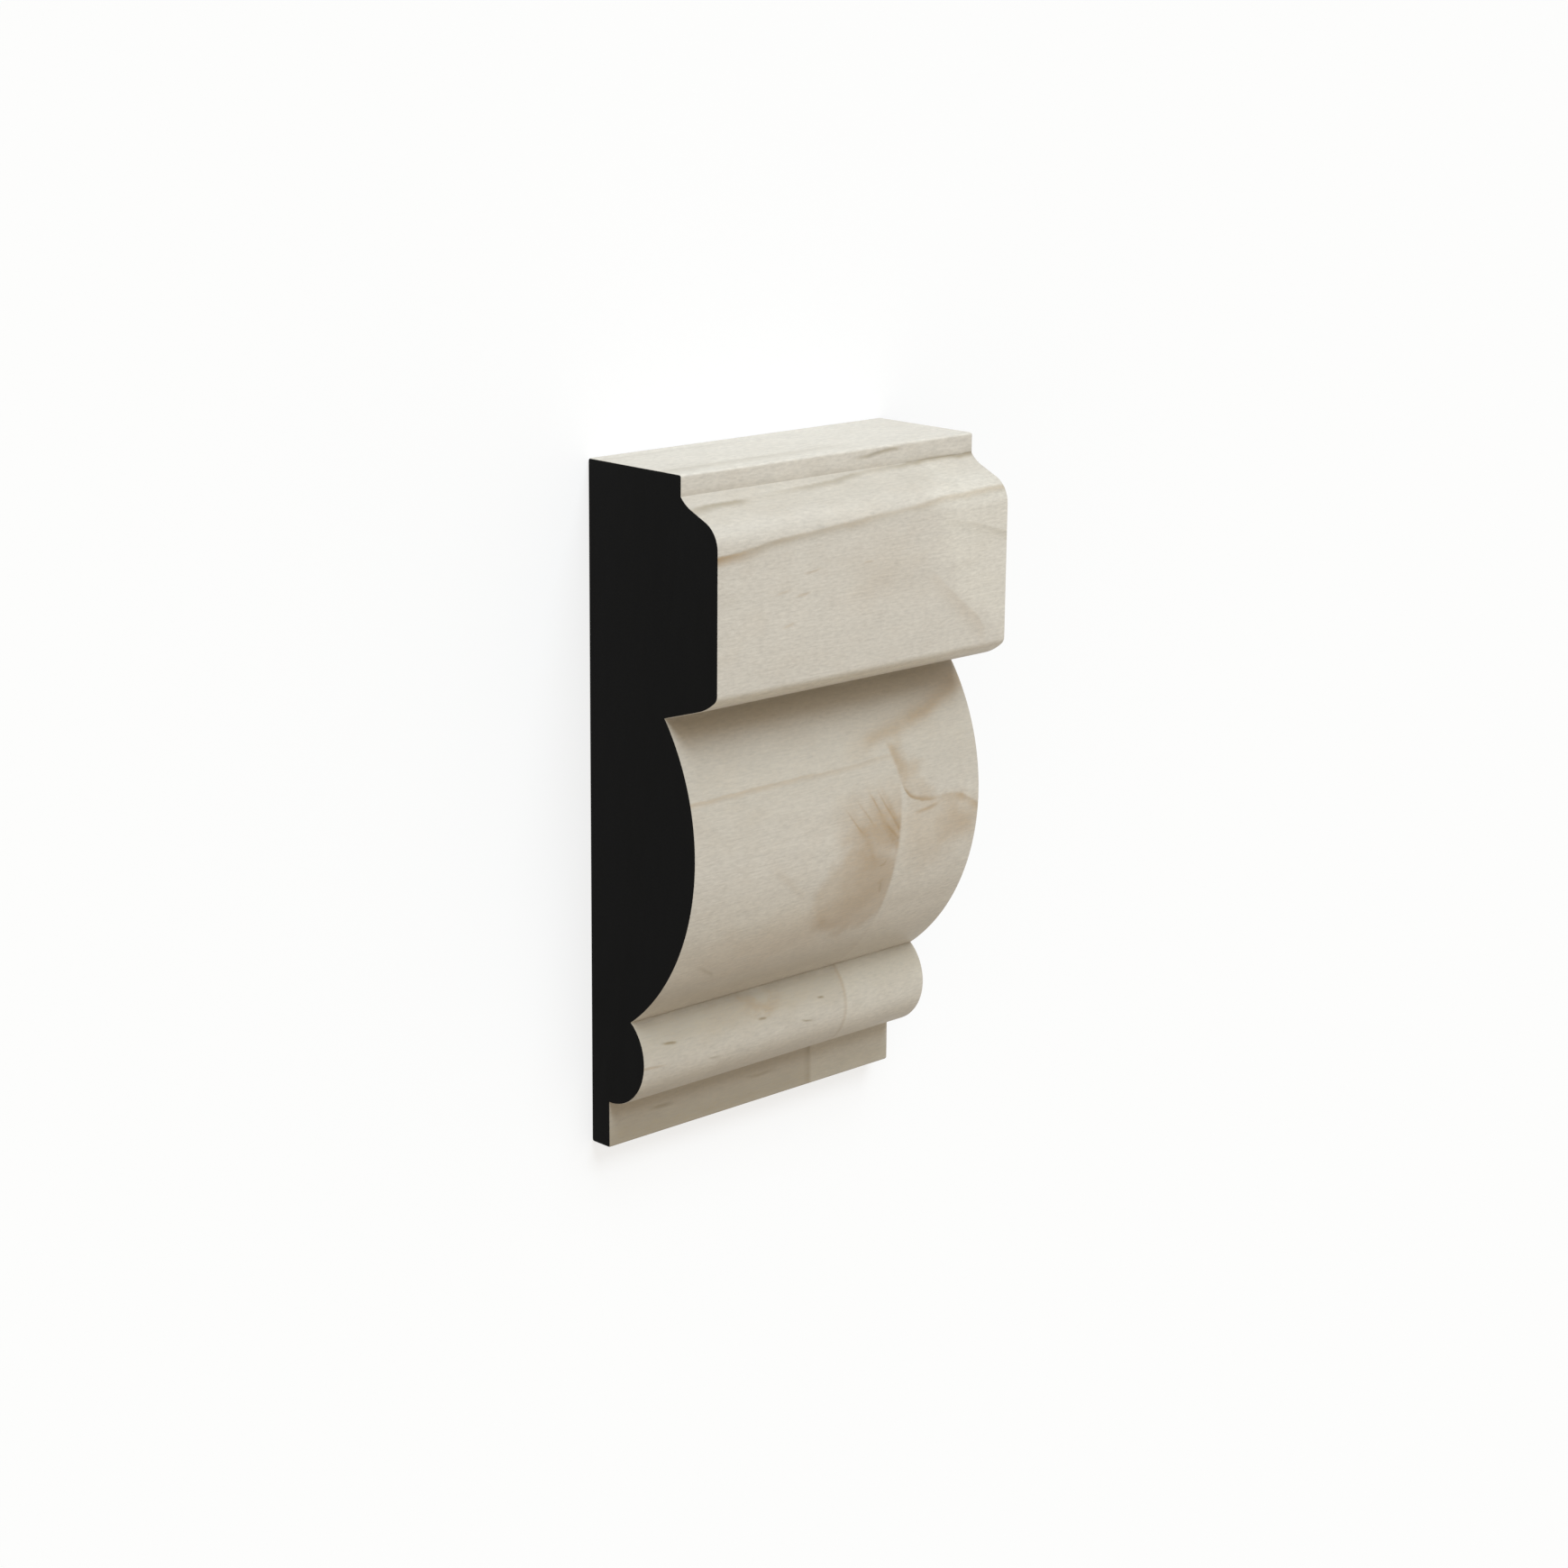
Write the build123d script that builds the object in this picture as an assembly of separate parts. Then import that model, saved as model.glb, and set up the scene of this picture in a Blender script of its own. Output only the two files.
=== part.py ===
from build123d import *
import math
import os

os.makedirs("parts", exist_ok=True)

# Dado rail: a short length of one-piece wooden wall moulding, run from tulipwood.
# It lies on its flat back, the face that goes against the wall.
# X runs along the rail, Y up the wall and Z out of the wall. The origin is the back's centre.
# All sizes are in millimetres.

# Overall sizes
rail_height = 76.0
rail_thickness = 20.0
sample_length = 43.5

# Top fillet: the narrow square step under the top edge
top_fillet_depth = 14.45
top_fillet_height = 2.25

# Ogee: a small cove that turns over into a round and runs out into the front flat
cove_radius = 4.0
cove_start_slope = 51.0
ogee_slope = 24.0
ogee_round_radius = 3.1

# Block: the thickest part. Its lower arris is a tight round that sweeps out into the falling underside.
front_flat_bottom = 53.85
lower_round_radius = 1.15
lower_sweep_slope = 40.0
lower_sweep_radius = 7.3
underside_slope = 17.2

# Torus: the wide shallow swell below the block
torus_depth = 16.7
torus_radius = 25.0
torus_centre_height = 35.45

# Bead and foot: the small round below the torus, and the thin fillet it stands on
foot_depth = 2.95
bead_radius = 5.7
bead_centre_height = 10.95

# Eased edges: the long square arrises, and the sawn ends
arris_radius = 0.3
end_ease = 0.2


def block_face():
    """The thick upper part: top fillet, ogee, front flat, lower round, sweep and underside."""
    fillet_foot = Vector(top_fillet_depth, rail_height - top_fillet_height)
    start = math.radians(cove_start_slope)
    cove = JernArc(
        start=fillet_foot,
        tangent=(math.cos(start), -math.sin(start)),
        radius=cove_radius,
        arc_size=cove_start_slope - ogee_slope,
    )

    slope = math.radians(ogee_slope)
    round_reach = ogee_round_radius * (1 - math.sin(slope))
    straight_reach = rail_thickness - round_reach - (cove @ 1).X
    straight = Line(cove @ 1, cove @ 1 + (cove % 1) * (straight_reach / math.cos(slope)))
    ogee_round = JernArc(
        start=straight @ 1,
        tangent=straight % 1,
        radius=ogee_round_radius,
        arc_size=ogee_slope - 90,
    )

    front = Line(ogee_round @ 1, (rail_thickness, front_flat_bottom))
    lower_round = JernArc(
        start=front @ 1,
        tangent=(0, -1),
        radius=lower_round_radius,
        arc_size=lower_sweep_slope - 90,
    )
    lower_sweep = JernArc(
        start=lower_round @ 1,
        tangent=lower_round % 1,
        radius=lower_sweep_radius,
        arc_size=underside_slope - lower_sweep_slope,
    )

    sweep_end = lower_sweep @ 1
    fall = sweep_end.X * math.tan(math.radians(underside_slope))
    underside = Line(sweep_end, (0, sweep_end.Y - fall))

    back = Line(underside @ 1, (0, rail_height))
    top = Line(back @ 1, (top_fillet_depth, rail_height))
    top_fillet = Line(top @ 1, fillet_foot)
    outline = [cove, straight, ogee_round, front, lower_round, lower_sweep]
    outline += [underside, back, top, top_fillet]
    return make_face(outline)


def rail_section():
    """The whole section: depth from the wall along X, height from the bottom edge along Y."""
    torus = Pos(torus_depth - torus_radius, torus_centre_height) * Circle(torus_radius)
    bead = Pos(foot_depth, bead_centre_height) * Circle(bead_radius)
    foot = Rectangle(foot_depth, bead_centre_height, align=(Align.MIN, Align.MIN))
    wall_side = Rectangle(rail_thickness, rail_height, align=(Align.MIN, Align.MIN))
    section = (block_face() + torus + bead + foot) & wall_side

    square_arrises = [
        (0, 0),
        (foot_depth, 0),
        (0, rail_height),
        (top_fillet_depth, rail_height),
    ]
    for arris in square_arrises:
        corner = section.vertices().sort_by_distance(arris)[0]
        section = fillet(corner, arris_radius)
    return section


def dado_rail():
    """The section run along the rail, lying on its back, with both sawn ends eased."""
    far_end = Plane(
        origin=(sample_length / 2, -rail_height / 2, 0),
        x_dir=(0, 0, 1),
        z_dir=(-1, 0, 0),
    )
    rail = extrude(far_end * rail_section(), sample_length)
    ends = rail.faces().sort_by(Axis.X)
    return chamfer(ends[0].edges() + ends[-1].edges(), end_ease)


rail = dado_rail()
rail.label = "dado_rail"
export_step(rail, "parts/dado_rail.step")

size = rail.bounding_box().size
print(f"dado_rail {size.X:.2f} x {size.Y:.2f} x {size.Z:.2f} mm, {rail.volume / 1000:.1f} cm3")
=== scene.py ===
"""A short cut length of tulipwood dado rail, lying on its flat back in a plain pale studio.

X runs along the rail, Y up the wall and Z out of the wall. The origin is the centre of the back.
"""
import logging
import math
from dataclasses import dataclass, field
from enum import Enum

import bmesh
import bpy
from mathutils import Matrix, Vector
from mathutils.geometry import intersect_line_sphere_2d, intersect_sphere_sphere_2d


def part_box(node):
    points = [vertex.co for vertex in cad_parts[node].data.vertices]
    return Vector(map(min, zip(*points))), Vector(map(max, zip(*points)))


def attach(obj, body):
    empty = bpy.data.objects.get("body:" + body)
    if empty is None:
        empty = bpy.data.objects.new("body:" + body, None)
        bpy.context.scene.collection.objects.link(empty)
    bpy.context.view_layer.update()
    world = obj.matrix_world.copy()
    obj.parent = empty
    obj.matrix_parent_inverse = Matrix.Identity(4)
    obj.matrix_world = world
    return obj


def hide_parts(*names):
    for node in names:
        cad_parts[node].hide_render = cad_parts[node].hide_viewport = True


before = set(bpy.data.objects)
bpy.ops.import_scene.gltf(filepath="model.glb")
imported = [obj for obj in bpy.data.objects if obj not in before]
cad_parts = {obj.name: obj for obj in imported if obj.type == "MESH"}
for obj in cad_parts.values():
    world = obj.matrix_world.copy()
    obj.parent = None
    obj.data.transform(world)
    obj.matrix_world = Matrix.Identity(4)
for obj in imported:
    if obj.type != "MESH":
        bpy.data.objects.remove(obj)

MM = 0.001
MM_PER_METRE = 1000.0
CAD_NODE = "dado_rail"
BODY = "root"

# Sockets of a Mix node that mixes colours
MIX_A = 6
MIX_B = 7
MIX_RESULT = 2

# First and last place of the figure along the rail, in millimetres from its centre
NEAR = -21.7
FAR = 21.7

# How far a fleck fades out above and below its middle, in millimetres
FLECK_REACH = (0.2, 0.26)

Tree = bpy.types.NodeTree
Socket = bpy.types.NodeSocket

log = logging.getLogger("dado_rail")


class Surface(Enum):
    """The two finishes on the rail, in the order of its material slots."""

    PLANED = 0
    CUT_END = 1


class Run(Enum):
    """The way that a line of figure runs over the wood."""

    LENGTHWISE = "along the rail on its moulded face"
    CROSSWISE = "up the wall on its moulded face"
    TOP = "along the rail on its top edge"


class Tone(Enum):
    """The sRGB colours that a mark in the wood leans to; dun also gives the painted shade and cream the
    painted light.
    """

    TAN = "#a0845e"
    DUN = "#8a7c62"
    CREAM = "#ece7da"


class Shift(Enum):
    """Offsets that keep the wood's noises apart from each other."""

    RINGS = 3.1
    MOTTLE = 17.3
    FIBRES = 29.7
    PORES = 41.9
    SPECKLE = 53.1
    WARMTH = 71.3


def linear_rgba(hex_code: str) -> tuple[float, float, float, float]:
    """Turns an sRGB hex colour to linear values.

    Args:
        hex_code: A colour such as "#c8c1b5".

    Returns:
        Linear red, green and blue, and an alpha of 1.
    """
    channels = []
    for start in (1, 3, 5):
        value = int(hex_code[start:start + 2], 16) / 255
        channels.append(value / 12.92 if value <= 0.04045 else ((value + 0.055) / 1.055) ** 2.4)
    return (*channels, 1.0)


def add_node(tree: Tree, kind: str, inputs: dict | None = None, **settings) -> bpy.types.Node:
    """Adds one node with its settings and links.

    Args:
        tree: The node tree that gets the node.
        kind: The node's type name.
        inputs: Input name or number to a value, or to the output socket that feeds it.
        **settings: Properties of the node itself.

    Returns:
        The new node.
    """
    node = tree.nodes.new(kind)
    for name, value in settings.items():
        setattr(node, name, value)
    for key, value in (inputs or {}).items():
        if isinstance(value, Socket):
            tree.links.new(value, node.inputs[key])
        else:
            node.inputs[key].default_value = value
    return node


def new_material(name: str) -> tuple[bpy.types.Material, Tree]:
    """Makes a material with an empty node tree.

    Args:
        name: The material's name.

    Returns:
        The material and its node tree.
    """
    material = bpy.data.materials.new(name)
    material.use_nodes = True
    material.node_tree.nodes.clear()
    return material, material.node_tree


def place_in_mm(tree: Tree) -> Socket:
    """Gives the place on the rail in millimetres.

    Args:
        tree: The material's node tree.

    Returns:
        The Object coordinates in millimetres.
    """
    coordinate = add_node(tree, "ShaderNodeTexCoord").outputs["Object"]
    return add_node(
        tree, "ShaderNodeVectorMath", {0: coordinate, "Scale": MM_PER_METRE}, operation="SCALE").outputs[0]


@dataclass(frozen=True)
class Streak:
    """One line of figure in the wood; the level bands among them are painted shade and painted light.

    Attributes:
        path: Points of (along, across, amount). The first two are millimetres from the rail's
            centre, in the directions of its run, and amount is the share of the tone.
        reach: How far it fades out above and below its middle, in millimetres.
        run: The way that it runs.
        tone: The colour that it leans to.
    """

    path: tuple[tuple[float, float, float], ...]
    reach: tuple[float, float]
    run: Run = Run.LENGTHWISE
    tone: Tone = Tone.TAN

    @classmethod
    def level(cls, height: float, near: float, far: float, reach: tuple[float, float],
              tone: Tone = Tone.DUN) -> "Streak":
        """Makes a band of painted shade that runs level along the whole rail; with the cream tone it is
        painted light.

        Args:
            height: Its place up the wall, in millimetres from the rail's centre.
            near: Its amount at the near end.
            far: Its amount at the far end.
            reach: How far it fades out above and below its middle, in millimetres.
            tone: The colour that it leans to.

        Returns:
            The streak.
        """
        return cls(((NEAR, height, near), (FAR, height, far)), reach, tone=tone)

    @classmethod
    def fleck(cls, *path: tuple[float, float, float]) -> "Streak":
        """Makes a short thin dun fleck through a few points."""
        return cls(path, FLECK_REACH, tone=Tone.DUN)


@dataclass(frozen=True)
class Cloud:
    """One soft patch of tone on the moulded face.

    Attributes:
        centre: Its place along the rail and up the wall, in millimetres from the rail's centre.
        reach: Half its length and half its height, in millimetres.
        amount: The share of the tone at its middle.
        tone: The colour that it leans to.
        lean_deg: How far its long axis is turned from the rail's length.
        core: The share of its reach that is at full strength.
    """

    centre: tuple[float, float]
    reach: tuple[float, float]
    amount: float
    tone: Tone = Tone.TAN
    lean_deg: float = 0.0
    core: float = 0.1


STREAKS = (
    # The line in the cove, which meets the foot of the top fillet at the far end
    Streak(((NEAR, 34.6, 0.3), (-18.0, 34.7, 0.46), (-15.0, 34.8, 0.42), (-12.5, 34.9, 0.06),
            (-8.0, 35.0, 0.16), (-3.0, 35.1, 0.34), (2.0, 35.3, 0.34), (5.0, 35.5, 0.16),
            (12.0, 35.7, 0.4), (FAR, 35.8, 0.56)), (0.24, 0.5), tone=Tone.DUN),
    # The short dun lens on the top fillet
    Streak(((1.6, 36.8, 0.0), (4.4, 37.05, 0.36), (7.6, 37.35, 0.6), (9.6, 37.55, 0.5), (11.0, 37.65, 0.0)),
           (0.32, 0.45), tone=Tone.DUN),
    # The long dun line where the ogee runs out into the front flat, with tan at the near end and along it
    Streak(((NEAR, 30.0, 0.8), (-18.6, 30.2, 0.5), (-16.4, 30.5, 0.16), (-13.0, 30.9, 0.0)), (0.35, 1.3)),
    Streak(((NEAR, 30.0, 0.1), (-17.4, 30.4, 0.26), (-14.6, 30.8, 0.42), (-12.4, 31.0, 0.36),
            (-9.0, 31.2, 0.28), (-3.0, 31.5, 0.28), (2.0, 31.7, 0.24), (8.0, 32.0, 0.2),
            (13.0, 32.4, 0.24), (FAR, 32.6, 0.34)), (0.35, 1.2), tone=Tone.DUN),
    Streak(((-15.0, 30.7, 0.0), (-13.0, 30.95, 0.2), (-8.0, 31.25, 0.14), (-3.0, 31.5, 0.18),
            (2.0, 31.7, 0.12), (8.0, 32.1, 0.18), (14.0, 32.45, 0.34), (FAR, 32.6, 0.42)), (0.4, 0.6)),
    # Fine dashes on the front flat
    Streak(((-9.8, 27.0, 0.0), (-8.4, 27.1, 0.3), (-6.6, 27.3, 0.0)), (0.2, 0.3)),
    Streak(((-13.8, 25.2, 0.0), (-12.4, 25.4, 0.26), (-11.0, 25.5, 0.0)), (0.2, 0.28)),
    Streak(((-11.2, 24.6, 0.0), (-9.4, 24.8, 0.34), (-8.2, 25.0, 0.0)), (0.2, 0.28)),
    Streak(((-12.8, 21.6, 0.0), (-11.6, 21.8, 0.3), (-10.2, 22.0, 0.0)), (0.24, 0.3)),
    Streak(((-1.0, 27.0, 0.0), (0.1, 27.1, 0.24), (1.1, 27.1, 0.0)), (0.2, 0.24)),
    # The upper and lower edges of the pale flame on the front flat
    Streak(((10.0, 30.9, 0.0), (13.0, 30.0, 0.12), (16.0, 29.3, 0.2), (19.0, 28.4, 0.26), (FAR, 27.6, 0.34)),
           (0.3, 1.3), tone=Tone.DUN),
    Streak(((8.0, 26.2, 0.0), (11.0, 23.6, 0.08), (14.0, 21.2, 0.14), (17.0, 18.8, 0.16), (18.2, 17.4, 0.1)),
           (0.5, 3.4)),
    # Painted fill light along the block's lower arris: a paler cream band where the lamp doesn't reach
    Streak.level(14.7, 0.4, 0.4, (1.3, 0.8), Tone.CREAM),
    # The brown band in the shade on the swell's upper side
    Streak(((0.0, 3.6, 0.0), (3.4, 5.2, 0.12), (8.0, 6.2, 0.16), (13.0, 7.2, 0.22), (17.0, 8.6, 0.24),
            (FAR, 10.0, 0.34)), (2.8, 2.0)),
    Streak(((3.2, 5.0, 0.0), (6.0, 5.9, 0.22), (8.4, 6.3, 0.24), (10.6, 6.7, 0.18), (13.2, 7.3, 0.32),
            (15.6, 7.9, 0.3), (18.2, 8.8, 0.2), (FAR, 9.8, 0.14)), (1.5, 1.1)),
    # The fine straight line along the swell
    Streak(((NEAR, 3.5, 0.32), (-10.0, 3.6, 0.27), (2.0, 3.7, 0.17), (8.0, 3.8, 0.14), (8.8, 3.8, 0.0)),
           (0.24, 0.7)),
    # The curl of brown at the swell's far end
    Streak(((-0.8, 10.3, 0.2), (1.0, 9.4, 0.26), (2.8, 8.9, 0.26), (4.4, 8.3, 0.34), (5.6, 7.8, 0.0)),
           (1.4, 0.5), Run.CROSSWISE),
    Streak(((9.2, 0.8, 0.0), (10.1, -0.7, 0.46), (11.4, -1.55, 0.5), (13.2, -1.95, 0.44), (14.6, -2.0, 0.2),
            (16.0, -1.9, 0.0)), (0.6, 0.3)),
    Streak(((9.3, 0.6, 0.0), (10.0, -0.6, 0.34), (11.0, -1.4, 0.3), (12.4, -1.95, 0.1)), (0.3, 0.3),
           tone=Tone.DUN),
    Streak(((10.8, -3.2, 0.0), (12.4, -3.05, 0.4), (14.0, -2.85, 0.4), (15.8, -2.5, 0.0)), (0.35, 0.4)),
    Streak(((14.2, -2.0, 0.0), (16.0, -2.0, 0.24), (17.4, -2.1, 0.3), (19.0, -2.5, 0.4), (20.2, -3.1, 0.34),
            (FAR, -4.0, 0.4)), (0.4, 1.1)),
    # Slanting brush-like lines above the brown smudge, three wide and five narrow
    Streak(((3.2, 1.4, 0.0), (4.6, -0.4, 0.1), (6.4, -3.2, 0.14), (8.9, -6.6, 0.14)), (1.4, 1.2)),
    Streak(((5.2, 1.6, 0.0), (6.8, -0.8, 0.13), (8.9, -4.4, 0.1)), (1.2, 1.0)),
    Streak(((0.2, 0.4, 0.0), (2.2, -2.6, 0.1), (4.4, -5.6, 0.12), (6.4, -8.4, 0.0)), (1.6, 1.3)),
    Streak(((0.0, -0.4, 0.0), (1.8, -2.4, 0.24), (3.8, -4.8, 0.0)), (0.32, 0.32)),
    Streak(((1.8, 0.2, 0.0), (3.6, -1.8, 0.22), (5.4, -4.0, 0.0)), (0.36, 0.36)),
    Streak(((3.9, 0.7, 0.0), (5.0, -0.8, 0.26), (6.4, -2.9, 0.0)), (0.4, 0.4)),
    Streak(((5.0, 1.2, 0.0), (6.5, -1.2, 0.28), (7.8, -3.1, 0.16), (8.9, -4.6, 0.12)), (0.44, 0.44)),
    Streak(((6.4, -3.2, 0.0), (7.6, -4.4, 0.16), (8.9, -5.6, 0.14)), (0.4, 0.4)),
    # Faint slanting lines on the swell's near half
    Streak(((-10.8, -5.4, 0.0), (-8.0, -7.3, 0.1), (-5.2, -9.4, 0.08), (-4.0, -10.4, 0.0)), (1.0, 0.9)),
    Streak(((-18.8, -15.6, 0.0), (-17.0, -16.2, 0.18), (-15.2, -17.2, 0.26), (-14.0, -17.9, 0.0)), (0.4, 0.4),
           tone=Tone.DUN),
    # Short flecks on the bead, and the tan line that runs in from its near end
    Streak.fleck((-19.4, -25.15, 0.0), (-17.6, -25.35, 0.54), (-16.4, -25.5, 0.0)),
    Streak.fleck((-4.9, -25.6, 0.0), (-3.9, -25.7, 0.56), (-3.1, -25.75, 0.0)),
    Streak.fleck((4.5, -25.2, 0.0), (5.2, -25.3, 0.56), (5.9, -25.35, 0.0)),
    Streak.fleck((1.5, -27.1, 0.0), (2.9, -27.5, 0.5), (4.2, -27.8, 0.0)),
    Streak.fleck((-12.5, -28.3, 0.0), (-11.2, -28.5, 0.34), (-9.9, -28.6, 0.0)),
    Streak(((NEAR, -27.3, 0.4), (-20.0, -27.45, 0.34), (-17.0, -27.7, 0.0)), (0.2, 0.3)),
    # Faint lines on the foot
    Streak(((-16.6, -34.9, 0.0), (-14.0, -35.0, 0.3), (-11.6, -35.1, 0.0)), (0.3, 0.4), tone=Tone.DUN),
    Streak(((-2.4, -34.7, 0.0), (1.0, -34.8, 0.24), (4.4, -34.85, 0.0)), (0.3, 0.4), tone=Tone.DUN),
    # The straight line across the rail where the tone changes, on the foot, and on the bead and swell
    Streak(((-38.0, 8.7, 0.08), (-35.0, 8.7, 0.12), (-32.8, 8.8, 0.28), (-31.8, 8.9, 0.0)), (0.35, 1.0),
           Run.CROSSWISE, Tone.DUN),
    Streak(((-31.4, 9.0, 0.16), (-28.0, 9.0, 0.24), (-23.0, 8.9, 0.22), (-21.8, 9.1, 0.06),
            (-14.0, 9.1, 0.06), (-2.0, 9.1, 0.08), (1.0, 9.1, 0.0)), (0.45, 0.5), Run.CROSSWISE),
    # Painted shade along the cove and ogee: two darker dun bands along the whole rail
    Streak.level(35.7, 0.14, 0.14, (1.0, 0.8)),
    Streak.level(34.4, 0.21, 0.2, (2.6, 4.2)),
    # Painted shade: darker dun bands in the notch under the block, on the swell's upper side under the
    # block's overhang, and on the swell's low part above the quirk
    Streak.level(11.5, 0.26, 0.22, (0.7, 1.5)),
    Streak.level(5.4, 0.31, 0.31, (12.0, 12.0)),
    Streak.level(-19.9, 0.32, 0.28, (4.8, 3.0)),
    # Painted shade: darker dun bands from the quirk down over the bead, and on the foot under the bead
    Streak.level(-23.3, 0.62, 0.58, (1.2, 6.4)),
    Streak.level(-33.0, 0.4, 0.4, (5.6, 8.0)),
    Streak.level(-37.6, 0.5, 0.5, (3.5, 4.0)),
    # Two lines along the top edge
    Streak(((NEAR, 2.1, 0.16), (-8.0, 2.2, 0.14), (2.0, 2.3, 0.0)), (0.8, 0.8), Run.TOP, Tone.DUN),
    Streak(((NEAR, 11.6, 0.28), (-6.0, 11.4, 0.24), (3.0, 11.3, 0.14), (9.0, 11.2, 0.0)), (1.9, 1.1),
           Run.TOP, Tone.DUN),
)

CLOUDS = (
    # The brown smudge on the swell
    Cloud((3.8, -11.2), (8.2, 5.8), 0.32, core=0.68),
    Cloud((5.4, -9.8), (6.4, 4.4), 0.24, lean_deg=-14.0, core=0.3),
    # The tan fan above the smudge
    Cloud((7.0, -3.0), (4.8, 7.4), 0.28, lean_deg=-40.0),
    Cloud((8.4, -5.4), (2.8, 2.6), 0.26),
    Cloud((3.4, -2.6), (6.6, 4.8), 0.22, lean_deg=-24.0),
    Cloud((3.6, -4.6), (6.4, 3.6), 0.24),
    # The wide faint tan below and beside the smudge
    Cloud((1.2, -13.2), (5.8, 2.6), 0.09, core=0.4),
    Cloud((-6.0, -14.8), (21.0, 4.8), 0.22, lean_deg=2.0),
    # Small dun spots in the smudge
    Cloud((7.0, -8.6), (0.8, 0.5), 0.4, Tone.DUN),
    Cloud((7.6, -10.8), (0.9, 0.5), 0.36, Tone.DUN, lean_deg=-40.0),
    Cloud((-0.2, -13.6), (1.4, 0.8), 0.34, Tone.DUN),
    # Brown washes inside the curl, and the wide ones below it
    Cloud((11.2, 1.9), (3.0, 2.6), 0.28),
    Cloud((12.6, -1.0), (3.6, 2.0), 0.22, lean_deg=-20.0),
    Cloud((9.6, 3.4), (1.6, 4.0), 0.2),
    Cloud((20.0, -5.4), (5.6, 4.0), 0.36),
    Cloud((14.6, -5.4), (8.8, 5.6), 0.32, core=0.3),
    # Faint brown on the front flat and on the bead
    Cloud((2.6, 26.0), (9.0, 5.6), 0.1),
    Cloud((-6.0, -24.6), (14.0, 1.6), 0.12),
    Cloud((-4.2, -24.4), (3.4, 1.3), 0.26),
    # The pale flame on the front flat, and the pale low part of the swell
    Cloud((21.8, 24.6), (15.4, 8.2), 0.24, Tone.CREAM, lean_deg=-42.0, core=0.66),
    Cloud((-6.0, -12.0), (24.0, 6.0), 0.14, Tone.CREAM),
)


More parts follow.
